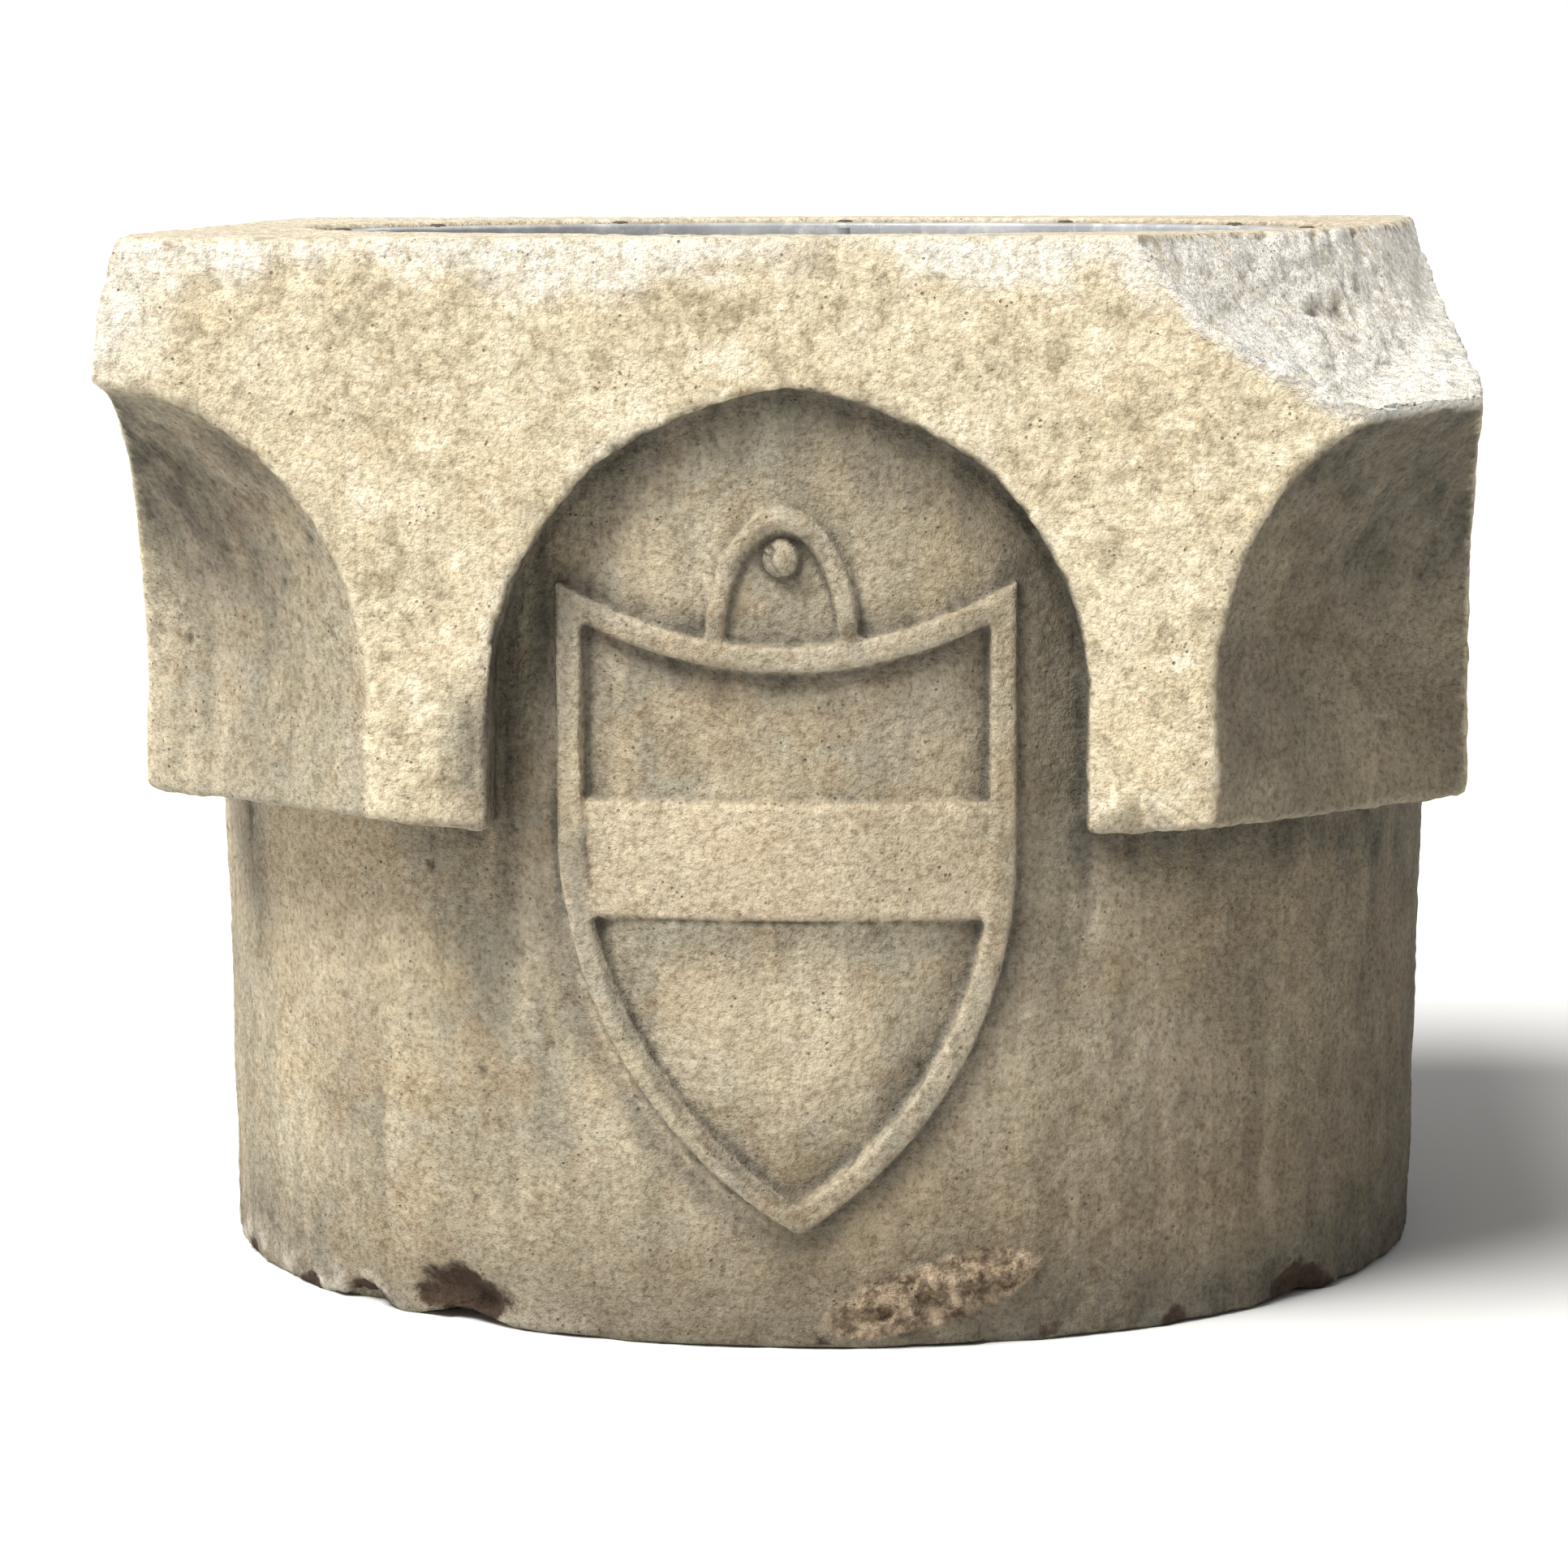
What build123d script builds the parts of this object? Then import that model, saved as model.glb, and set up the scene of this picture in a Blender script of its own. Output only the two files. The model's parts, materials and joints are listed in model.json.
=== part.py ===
from build123d import *
import math
import os

# A carved stone baptismal font: a square head with arched faces over a round drum,
# a lead-lined bowl, and a brass waste with a lift-out plug. All sizes in millimetres.
# The origin is at the middle of the drum's base, +Z is up, and the carved shield faces -Y.

# Head and drum
half_width = 360
height = 584
skirt_z = 280
drum_r = 350
base_r = 344
drum_top_z = 540
base_edge = 3
past_face = 5

# Pointed niche in each face: a round haunch and a flatter curve up to the point
niche_half = 155
arch_r = 163
niche_spring_z = 344
haunch_x = 100
point_sag = 6.5
niche_back_y = -240

# Hollow cut under each corner, with a quarter-ellipse head
corner_leg = 142
corner_spring_z = 347
corner_rise = 160

# Broken corner: how far in, and how low, the spall reaches at stations along the right side
spall_lid = 40
spall_stations = [
    # y, top edge x, foot of the steep part (x, z), shelf (x, z), z at the right face
    (-half_width - 5, 174, 209, 541, 279, 499, 497),
    (-230, 258, 286, 545, 318, 518, 508),
    (-130, 297, 318, 552, 340, 530, 521),
    (0, 328, 341, 560, 350, 544, 536),
    (115, 343, 350, 566, 355, 558, 553),
    (275, 358, 362, 578, 364, 576, 574),
]

# Shield and its strap, carved on the front of the drum
shield_x = -2
shield_half = 120
shield_horn_z = 406
shield_dip_z = 373
shield_side_z = 262
shield_tip = (5, 63)
shield_flank = (86, 148)
moulding_w = 13
moulding_proud = 8
band_low_z = 230
band_high_z = 291
band_proud = 4.5
strap_half = 39.5
strap_rise = 68
strap_w = 10
strap_rise_w = 14
strap_foot_z = 376
strap_proud = 6.5
peg_xz = (-5, 418)
peg_r = 8.5
peg_proud = 8.5
carving_reach = 160

# Bowl
bowl_r = 265
floor_edge_z = 296
floor_flat_z = 290
floor_flat_r = 50
well_r = 46
well_z = 285
cup_hole_r = 37
cup_hole_z = 270
bore_r = 32
recess_r = 60
recess_h = 45

# Lead lining
lead = 3.2
flange_r = 295
rebate_r = 297
rebate_depth = 6
floor_bead = 7
wall_bead_r = 5
rebate_z = height - rebate_depth
flange_top_z = rebate_z + lead
wall_inner_r = bowl_r - lead

# Nails through the flange
nail_count = 12
nail_pcd_r = 280
nail_r = 1.6
nail_length = 28
nail_head_r = 5
nail_head_h = 1.4
dowel_r = 6
dowel_length = 36

# Brass seat in the middle of the bowl floor, and the tail brazed to its underside
seat_flange_r = 42
seat_flange_h = 4
seat_cup_r = 36
seat_low_z = 272
tail_r = 23
tail_low_z = 214
waste_r = 19
seat_bottom_z = well_z + lead
seat_top_z = seat_bottom_z + seat_flange_h
head_well_r = 33
ledge_z = seat_top_z - 8
cone_top_r = 25

# Waste pipe, its wiped joint and its packing
pipe_r = tail_r
pipe_end_r = 22.5
pipe_low_z = 6
joint_r = 30
joint_half = 22
joint_fall = 2.5
packing_low_z = 50
packing_high_z = 95

# Plug
gap = 0.3
plug_head_r = 31.5
plug_head_h = 5
washer_h = 1.6
washer_z = ledge_z + gap
head_z = washer_z + washer_h
head_top_z = head_z + plug_head_h
taper_top_r = cone_top_r - 1.5 * gap
taper_low_r = 20.8
plug_low_z = ledge_z - 7.7
stem_r = 3
stem_low_z = plug_low_z - 11
nut_r = 8
nut_h = 6
nut_washer_r = 9.5
nut_washer_h = 1.5

# Eye and pull ring
eye_foot_r = 7
eye_foot_h = 2
eye_half = 6
eye_thick = 4
eye_hole_r = 2.7
ring_r = 12
ring_wire_r = 2.2
ring_tilt = 13
eye_z = head_top_z + 8


def ring_solid(outer_r, inner_r, low_z, high_z):
    """A plain upright tube."""
    with BuildPart() as tube:
        with BuildSketch(Plane.XY.offset(low_z)):
            Circle(outer_r)
            Circle(inner_r, mode=Mode.SUBTRACT)
        extrude(amount=high_z - low_z)
    return tube.part


def turned(*points):
    """A solid turned about the upright axis from the corners (r, z) of its half section."""
    with BuildPart() as solid:
        with BuildSketch(Plane.XZ):
            with BuildLine():
                Polyline(*points, close=True)
            make_face()
        revolve(axis=Axis.Z)
    return solid.part


def drum(proud=0.0):
    """The tapered drum, or the surface that carving stands proud to."""
    return turned(
        (0, 0),
        (base_r + proud, 0),
        (drum_r + proud, skirt_z),
        (drum_r + proud, drum_top_z),
        (0, drum_top_z),
    )


def carving(outline, proud):
    """Front carving: an outline pushed back into the drum and trimmed to its curve."""
    with BuildPart() as relief:
        add(outline)
        extrude(amount=carving_reach, dir=(0, 1, 0))
        add(drum(proud), mode=Mode.INTERSECT)
    return relief.part


front_plane = Plane.XZ.offset(half_width)
carving_plane = Plane(origin=(0, -half_width, 0), x_dir=(1, 0, 0), z_dir=(0, -1, 0))

# ---------------------------------------------------------------- carved outlines
arch_shift = arch_r - niche_half


def arch_z(x):
    """Height of the round arch at a distance from the niche's middle."""
    return niche_spring_z + math.sqrt(arch_r**2 - (x + arch_shift) ** 2)


apex = (0, arch_z(0))
haunch = (haunch_x, arch_z(haunch_x))
side_mid_x = (haunch_x + niche_half) / 2 + 6
side_mid = (side_mid_x, arch_z(side_mid_x))
chord = math.hypot(haunch[0], apex[1] - haunch[1])
point_mid = (
    haunch[0] / 2 + point_sag * (apex[1] - haunch[1]) / chord,
    (haunch[1] + apex[1]) / 2 + point_sag * haunch[0] / chord,
)

with BuildPart() as niche_cutter:
    with BuildSketch(front_plane.offset(past_face)):
        with BuildLine():
            Polyline(
                (-niche_half, niche_spring_z),
                (-niche_half, skirt_z - 10),
                (niche_half, skirt_z - 10),
                (niche_half, niche_spring_z),
            )
            ThreePointArc((niche_half, niche_spring_z), side_mid, haunch)
            ThreePointArc(haunch, point_mid, apex)
            ThreePointArc(apex, (-point_mid[0], point_mid[1]), (-haunch[0], haunch[1]))
            ThreePointArc(
                (-haunch[0], haunch[1]), (-side_mid[0], side_mid[1]), (-niche_half, niche_spring_z)
            )
        make_face()
    extrude(amount=-(half_width + past_face + niche_back_y))
    add(drum(), mode=Mode.SUBTRACT)

# The corner cutter is drawn in the upright plane that splits the front left corner,
# with x inwards along the diagonal, and pushed out both ways across the corner.
diagonal = math.sqrt(0.5)
corner_plane = Plane(
    origin=(-half_width, -half_width, 0),
    x_dir=(diagonal, diagonal, 0),
    z_dir=(diagonal, -diagonal, 0),
)
corner_depth = corner_leg * diagonal

with BuildPart() as corner_cutter:
    with BuildSketch(corner_plane):
        with Locations((0, corner_spring_z)):
            Ellipse(corner_depth, corner_rise)
        with Locations((0, (skirt_z - 10 + corner_spring_z) / 2)):
            Rectangle(2 * corner_depth, corner_spring_z - skirt_z + 10)
        with Locations((0, skirt_z - 10 - corner_rise)):
            Rectangle(3 * corner_depth, 2 * corner_rise, mode=Mode.SUBTRACT)
    extrude(amount=1.5 * corner_leg, both=True)

with BuildPart() as spall_cutter:
    for y, top_x, foot_x, foot_z, shelf_x, shelf_z, face_z in spall_stations:
        with BuildSketch(Plane.XZ.offset(-y)):
            with BuildLine():
                Polyline(
                    (top_x, height),
                    (foot_x, foot_z),
                    (shelf_x, shelf_z),
                    (half_width + 8, face_z),
                    (half_width + 8, height + spall_lid),
                    (top_x, height + spall_lid),
                    close=True,
                )
            make_face()
    loft(ruled=True)

# ---------------------------------------------------------------- shield
with BuildSketch(carving_plane) as shield_face:
    with BuildLine():
        left_x = shield_x - shield_half
        right_x = shield_x + shield_half
        ThreePointArc(
            (left_x, shield_horn_z), (shield_x, shield_dip_z), (right_x, shield_horn_z)
        )
        Line((right_x, shield_horn_z), (right_x, shield_side_z))
        ThreePointArc((right_x, shield_side_z), (shield_flank[0] + 2, shield_flank[1]), shield_tip)
        ThreePointArc(shield_tip, (-shield_flank[0] + 2, shield_flank[1]), (left_x, shield_side_z))
        Line((left_x, shield_side_z), (left_x, shield_horn_z))
    make_face()

with BuildSketch(carving_plane) as shield_field:
    add(shield_face.sketch)
    offset(amount=-moulding_w, kind=Kind.INTERSECTION, mode=Mode.REPLACE)

with BuildSketch(carving_plane) as moulding_face:
    add(shield_face.sketch)
    add(shield_field.sketch, mode=Mode.SUBTRACT)

with BuildSketch(carving_plane) as band_face:
    with Locations((shield_x, (band_low_z + band_high_z) / 2)):
        Rectangle(2 * shield_half, band_high_z - band_low_z)
    add(shield_field.sketch, mode=Mode.INTERSECT)

with BuildSketch(carving_plane) as strap_face:
    with Locations((shield_x - 1, strap_foot_z)):
        Ellipse(strap_half, strap_rise)
        Ellipse(strap_half - strap_w, strap_rise - strap_rise_w, mode=Mode.SUBTRACT)
    with Locations((shield_x, strap_foot_z - strap_rise / 2 - moulding_w / 3)):
        Rectangle(4 * strap_half, strap_rise, mode=Mode.SUBTRACT)

with BuildSketch(carving_plane) as peg_face:
    with Locations(peg_xz):
        Circle(peg_r)

# ---------------------------------------------------------------- stone block
with BuildPart() as stone_block:
    with BuildSketch(Plane.XY.offset(skirt_z)):
        Rectangle(2 * half_width, 2 * half_width)
    extrude(amount=height - skirt_z)
    with PolarLocations(0, 4):
        add(niche_cutter.part, mode=Mode.SUBTRACT)
        add(corner_cutter.part, mode=Mode.SUBTRACT)
    add(spall_cutter.part, mode=Mode.SUBTRACT)
    add(drum())
    base_circle = stone_block.faces().sort_by(Axis.Z)[0].edges()
    chamfer(base_circle, base_edge)
    add(carving(moulding_face.sketch, moulding_proud))
    add(carving(band_face.sketch, band_proud))
    add(carving(strap_face.sketch, strap_proud))
    add(carving(peg_face.sketch, peg_proud))
    # bowl, rebate for the lead flange, well for the seat, drain bore and base recess
    add(
        turned(
            (0, height + 1),
            (rebate_r, height + 1),
            (rebate_r, rebate_z),
            (bowl_r, rebate_z),
            (bowl_r, floor_edge_z),
            (floor_flat_r, floor_flat_z),
            (well_r, well_z),
            (cup_hole_r, well_z),
            (cup_hole_r, cup_hole_z),
            (0, cup_hole_z),
        ),
        mode=Mode.SUBTRACT,
    )
    Cylinder(bore_r, 3 * height, mode=Mode.SUBTRACT)
    Cylinder(recess_r, 2 * recess_h, mode=Mode.SUBTRACT)
    with BuildSketch(Plane.XY.offset(rebate_z)):
        with PolarLocations(nail_pcd_r, nail_count):
            Circle(dowel_r)
    extrude(amount=-dowel_length, mode=Mode.SUBTRACT)

# ---------------------------------------------------------------- lead lining
with BuildPart() as lining_wall:
    add(
        turned(
            (wall_inner_r, floor_edge_z),
            (bowl_r, floor_edge_z),
            (bowl_r, rebate_z),
            (flange_r, rebate_z),
            (flange_r, flange_top_z),
            (wall_inner_r, flange_top_z),
        )
    )
    bend = lining_wall.edges().filter_by(GeomType.CIRCLE).group_by(Axis.Z)[-1]
    fillet(bend.sort_by(SortBy.RADIUS)[0], 2 * lead / 3)
    with BuildSketch(Plane.XY.offset(rebate_z)):
        with PolarLocations(nail_pcd_r, nail_count):
            Circle(nail_r)
    extrude(amount=lead, mode=Mode.SUBTRACT)

# the floor's slope carries on to the wall's inner face
floor_fall = (floor_edge_z - floor_flat_z) / (bowl_r - floor_flat_r)
floor_low_z = floor_edge_z - lead * floor_fall

with BuildPart() as lining_floor:
    add(
        turned(
            (seat_cup_r, well_z),
            (well_r, well_z),
            (floor_flat_r, floor_flat_z),
            (wall_inner_r, floor_low_z),
            (wall_inner_r, floor_low_z + lead),
            (floor_flat_r, floor_flat_z + lead),
            (well_r, seat_bottom_z),
            (seat_cup_r, seat_bottom_z),
        )
    )

bead_floor_z = floor_low_z + lead
bead_toe_z = bead_floor_z - floor_bead * floor_fall
with BuildPart() as floor_seam:
    with BuildSketch(Plane.XZ):
        with BuildLine():
            Line((wall_inner_r, bead_floor_z), (wall_inner_r, bead_floor_z + floor_bead))
            ThreePointArc(
                (wall_inner_r, bead_floor_z + floor_bead),
                (wall_inner_r - 0.6 * floor_bead, bead_floor_z + 0.6 * floor_bead),
                (wall_inner_r - floor_bead, bead_toe_z),
            )
            Line((wall_inner_r - floor_bead, bead_toe_z), (wall_inner_r, bead_floor_z))
        make_face()
    revolve(axis=Axis.Z)

with BuildPart() as wall_seam:
    with BuildSketch(Plane.XY.offset(bead_floor_z + floor_bead)):
        with Locations((0, wall_inner_r + wall_bead_r / 2)):
            Circle(wall_bead_r)
        Circle(wall_inner_r, mode=Mode.INTERSECT)
    extrude(amount=flange_top_z - lead - bead_floor_z - floor_bead)

with BuildPart() as lining_nails:
    with BuildSketch(Plane.XY.offset(flange_top_z)):
        with PolarLocations(nail_pcd_r, nail_count):
            Circle(nail_r)
    extrude(amount=-nail_length)
    with BuildSketch(Plane.XY.offset(flange_top_z)):
        with PolarLocations(nail_pcd_r, nail_count):
            Circle(nail_head_r)
    extrude(amount=nail_head_h)
    crowns = lining_nails.edges().filter_by(GeomType.CIRCLE).group_by(Axis.Z)[-1]
    chamfer(crowns, 0.6 * nail_head_h, 1.8)

with BuildPart() as nail_plugs:
    with BuildSketch(Plane.XY.offset(rebate_z)):
        with PolarLocations(nail_pcd_r, nail_count):
            Circle(dowel_r)
    extrude(amount=-dowel_length)
    with BuildSketch(Plane.XY.offset(rebate_z)):
        with PolarLocations(nail_pcd_r, nail_count):
            Circle(nail_r)
    extrude(amount=-(nail_length - lead), mode=Mode.SUBTRACT)

# ---------------------------------------------------------------- waste
with BuildPart() as plug_seat:
    add(
        turned(
            (waste_r, seat_low_z),
            (seat_cup_r, seat_low_z),
            (seat_cup_r, seat_bottom_z),
            (seat_flange_r, seat_bottom_z),
            (seat_flange_r, seat_top_z - 1),
            (seat_flange_r - 1.5, seat_top_z),
            (head_well_r, seat_top_z),
            (head_well_r, ledge_z),
            (cone_top_r, ledge_z),
        )
    )

with BuildPart() as seat_tail:
    add(ring_solid(tail_r, waste_r, tail_low_z, seat_low_z))

with BuildPart() as seat_solder:
    add(
        turned(
            (seat_flange_r, seat_bottom_z),
            (well_r, seat_bottom_z),
            (seat_flange_r, seat_top_z - 1),
        )
    )

with BuildPart() as waste_pipe:
    add(
        turned(
            (waste_r, pipe_low_z),
            (pipe_end_r, pipe_low_z),
            (pipe_end_r, packing_low_z),
            (pipe_r, packing_low_z),
            (pipe_r, tail_low_z),
            (waste_r, tail_low_z),
        )
    )

with BuildPart() as pipe_joint:
    add(
        turned(
            (pipe_r, tail_low_z - joint_half),
            (joint_r - joint_fall, tail_low_z - 0.6 * joint_half),
            (joint_r, tail_low_z - 0.2 * joint_half),
            (joint_r, tail_low_z + 0.2 * joint_half),
            (joint_r - joint_fall, tail_low_z + 0.6 * joint_half),
            (pipe_r, tail_low_z + joint_half),
        )
    )

with BuildPart() as pipe_packing:
    add(ring_solid(bore_r, pipe_r, packing_low_z, packing_high_z))

# ---------------------------------------------------------------- plug
with BuildPart() as plug_body:
    add(
        turned(
            (stem_r, plug_low_z),
            (taper_low_r, plug_low_z),
            (taper_top_r, ledge_z),
            (taper_top_r, head_z),
            (plug_head_r, head_z),
            (plug_head_r, head_top_z - 1.5),
            (plug_head_r - 1.5, head_top_z),
            (stem_r, head_top_z),
        )
    )

with BuildPart() as plug_washer:
    add(ring_solid(plug_head_r - 0.5, taper_top_r, washer_z, head_z))

with BuildPart() as plug_eye:
    with BuildSketch(Plane.XY.offset(stem_low_z)):
        Circle(stem_r)
    extrude(amount=head_top_z - stem_low_z)
    with BuildSketch(Plane.XY.offset(head_top_z)):
        Circle(eye_foot_r)
    extrude(amount=eye_foot_h)
    with BuildSketch(Plane.YZ.offset(-eye_thick / 2)):
        with Locations((0, eye_z)):
            Circle(eye_half)
        with Locations((0, (head_top_z + eye_z) / 2)):
            Rectangle(2 * eye_half, eye_z - head_top_z)
        with Locations((0, eye_z)):
            Circle(eye_hole_r, mode=Mode.SUBTRACT)
    extrude(amount=eye_thick)

with BuildPart() as eye_washer:
    add(ring_solid(nut_washer_r, stem_r, plug_low_z - nut_washer_h, plug_low_z))

with BuildPart() as eye_nut:
    with BuildSketch(Plane.XY.offset(plug_low_z - nut_washer_h)):
        RegularPolygon(nut_r, 6)
        Circle(stem_r, mode=Mode.SUBTRACT)
    extrude(amount=-nut_h)
    chamfer(eye_nut.faces().sort_by(Axis.Z)[0].outer_wire().edges(), 0.8)

# The ring lies back on the plug's head: its plane tips down towards -Y from the eye's hole.
tilt = math.radians(ring_tilt)
ring_centre = (0, -ring_r * math.cos(tilt), eye_z - ring_r * math.sin(tilt))
ring_plane = Plane(
    origin=ring_centre,
    x_dir=(1, 0, 0),
    z_dir=(0, -math.sin(tilt), math.cos(tilt)),
)

with BuildPart() as pull_ring:
    with BuildSketch(Plane.XZ):
        with Locations((ring_r, 0)):
            Circle(ring_wire_r)
    revolve(axis=Axis.Z)
    lying = pull_ring.part.moved(ring_plane.location)
    add(lying, mode=Mode.REPLACE)

# ---------------------------------------------------------------- files
nodes = {
    "stone_block": stone_block,
    "lining_wall": lining_wall,
    "lining_floor": lining_floor,
    "floor_seam": floor_seam,
    "wall_seam": wall_seam,
    "lining_nails": lining_nails,
    "nail_plugs": nail_plugs,
    "plug_seat": plug_seat,
    "seat_tail": seat_tail,
    "seat_solder": seat_solder,
    "waste_pipe": waste_pipe,
    "pipe_joint": pipe_joint,
    "pipe_packing": pipe_packing,
    "plug_body": plug_body,
    "plug_washer": plug_washer,
    "plug_eye": plug_eye,
    "eye_washer": eye_washer,
    "eye_nut": eye_nut,
    "pull_ring": pull_ring,
}
os.makedirs("parts", exist_ok=True)
for name, piece in nodes.items():
    piece.part.label = name
    export_step(piece.part, f"parts/{name}.step")
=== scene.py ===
import json
import math

import bpy
import numpy as np
from mathutils import Matrix, Vector
from mathutils.kdtree import KDTree


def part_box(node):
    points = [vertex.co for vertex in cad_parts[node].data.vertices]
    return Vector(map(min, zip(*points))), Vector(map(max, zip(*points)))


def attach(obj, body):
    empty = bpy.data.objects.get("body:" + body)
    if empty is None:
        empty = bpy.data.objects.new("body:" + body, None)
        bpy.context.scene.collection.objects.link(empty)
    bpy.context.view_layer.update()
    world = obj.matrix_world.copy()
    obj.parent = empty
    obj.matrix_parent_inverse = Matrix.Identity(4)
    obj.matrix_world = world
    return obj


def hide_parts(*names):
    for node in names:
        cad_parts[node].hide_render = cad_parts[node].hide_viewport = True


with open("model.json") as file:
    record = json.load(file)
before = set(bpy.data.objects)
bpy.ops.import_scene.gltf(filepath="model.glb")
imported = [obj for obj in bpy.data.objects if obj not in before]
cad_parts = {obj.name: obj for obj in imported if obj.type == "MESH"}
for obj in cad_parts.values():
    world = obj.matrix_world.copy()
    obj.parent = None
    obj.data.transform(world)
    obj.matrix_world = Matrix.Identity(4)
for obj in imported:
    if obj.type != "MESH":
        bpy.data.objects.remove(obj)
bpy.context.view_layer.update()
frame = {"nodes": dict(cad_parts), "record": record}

# A weathered limestone font. The CAD gives its true size and joints; this script carves the wear
# into the stone, dresses the lead, and paints every piece. Metres, +Z up, the shield faces -Y.
stone_low, stone_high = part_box("stone_block")
lining_low, lining_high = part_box("lining_wall")
floor_low, floor_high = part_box("lining_floor")

# ---------------------------------------------------------------- the CAD's shapes, in metres
MM = 0.001
HALF = stone_high.x
TOP = stone_high.z
SKIRT = 0.280
BASE_R, DRUM_R = 0.344, 0.350
NICHE_HALF, ARCH_R, NICHE_SPRING = 0.155, 0.163, 0.344
HAUNCH_X, POINT_FLAT = 0.100, 0.0025
CORNER_LEG, CORNER_SPRING, CORNER_RISE = 0.142, 0.347, 0.160
REBATE_R = 0.297
SHIELD_X, SHIELD_HALF = -0.002, 0.120
SHIELD_SIDE_Z, SHIELD_TIP_Z, SHIELD_TOP_MIDDLE = 0.262, 0.063, 0.374
MOULDING = 0.013
BAND_LOW, BAND_HIGH = 0.230, 0.291
PEG_X, PEG_Z, PEG_R, PEG_PROUD = -0.0035, 0.4185, 0.0092, 0.0092
STRAP_X, STRAP_FOOT, STRAP_INNER_HALF, STRAP_INNER_RISE = -0.003, 0.376, 0.0295, 0.057
# the broken corner's slope at stations along y: (x, z) of its top, foot, ledge and outer edge
SPALL_Y = (-0.365, -0.230, -0.130, 0.0, 0.115, 0.275)
SPALL = (
    ((0.174, TOP), (0.209, 0.541), (0.279, 0.499), (0.368, 0.497)),
    ((0.258, TOP), (0.286, 0.545), (0.318, 0.518), (0.368, 0.508)),
    ((0.297, TOP), (0.318, 0.552), (0.340, 0.530), (0.368, 0.521)),
    ((0.328, TOP), (0.341, 0.560), (0.350, 0.544), (0.368, 0.536)),
    ((0.343, TOP), (0.350, 0.566), (0.355, 0.558), (0.368, 0.553)),
    ((0.358, TOP), (0.362, 0.578), (0.364, 0.576), (0.368, 0.574)),
)
BOWL_R, LEAD = 0.265, 0.0032
FLOOR_FLAT_R, FLOOR_FLAT_Z, SEAT_HOLE_R, SEAT_WELL_R = 0.050, 0.290, 0.036, 0.046

# ---------------------------------------------------------------- the wear, in metres
SEED = 11
VOXEL, QUICK_VOXEL = 0.0021, 0.004
SOFTENED_NET = 0.0025  # the net that the rounds of softening are counted for
MOST_FACES = 430000
PITS, PIT_R, PIT_DEPTH = 150, (0.0022, 0.0046), (0.2, 0.5)
# chips in the head's edges: centre, reach, depth in mm, and where nicks let them in (None: all over)
EDGE_CHIPS = (
    ((-0.155, -0.36, 0.315), (0.03, 0.04, 0.045), 8, (-0.4, 0.2)),
    ((0.218, -0.36, 0.306), (0.03, 0.04, 0.018), 6, None),
    ((0.262, -0.36, 0.482), (0.04, 0.05, 0.035), 9, None),
    ((0.320, -0.34, 0.505), (0.07, 0.06, 0.03), 9, (-0.2, 0.3)),
)
# hollows in the drum's foot: centre, reach, depth in mm
FOOT_PITS = (
    ((-0.182, -0.292, 0.012), (0.045, 0.05, 0.024), 9),
    ((-0.239, -0.248, 0.0), (0.025, 0.03, 0.014), 7),
    ((0.272, -0.211, 0.004), (0.03, 0.04, 0.018), 6),
)
FOOT_STAINS = (
    ((-0.182, -0.292, 0.014), (0.05, 0.05, 0.026)),
    ((-0.239, -0.248, 0.003), (0.03, 0.04, 0.014)),
    ((0.272, -0.211, 0.006), (0.04, 0.05, 0.022)),
)
# the flaking crust low on the front, which rises to the right
CRUST_AT, CRUST_TILT = (0.078, -0.335, 0.030), 0.25
CRUST_RELIEF, CRUST_STAIN = (0.085, 0.07, 0.024), (0.085, 0.07, 0.026)


# ---------------------------------------------------------------- numbers
def step(low, high, x):
    """0 below low, 1 above high, and smooth between them."""
    t = np.clip((x - low) / (high - low), 0, 1)
    return t * t * (3 - 2 * t)


def bump_at(points, centre, size):
    """1 at a centre, falling to 0 at size = (x, y, z) reaches from it."""
    away = (points - np.array(centre)) / np.array(size)
    return 1 - step(0.25, 1, np.linalg.norm(away, axis=1))


class Noise:
    """Seeded gradient noise, about -1 to 1."""

    def __init__(self, seed):
        rng = np.random.default_rng(seed)
        self.order = rng.permutation(256)
        away = rng.normal(size=(256, 3))
        self.slopes = away / np.linalg.norm(away, axis=1, keepdims=True)
        self.shift = rng.uniform(0, 100, 3)

    def __call__(self, points, size, stretch=(1, 1, 1)):
        q = points / (size * np.array(stretch)) + self.shift
        cell = np.floor(q).astype(int)
        f = q - cell
        w = f * f * f * (f * (f * 6 - 15) + 10)
        total = np.zeros(len(points))
        for dx in (0, 1):
            for dy in (0, 1):
                for dz in (0, 1):
                    hashed = self.order[(cell[:, 0] + dx) & 255]
                    hashed = self.order[(hashed + cell[:, 1] + dy) & 255]
                    slope = self.slopes[self.order[(hashed + cell[:, 2] + dz) & 255]]
                    value = ((f - (dx, dy, dz)) * slope).sum(1)
                    share = (w if dx else 1 - w)[:, 0] * (w if dy else 1 - w)[:, 1]
                    total += value * share * (w if dz else 1 - w)[:, 2]
        return total * 1.6


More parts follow.
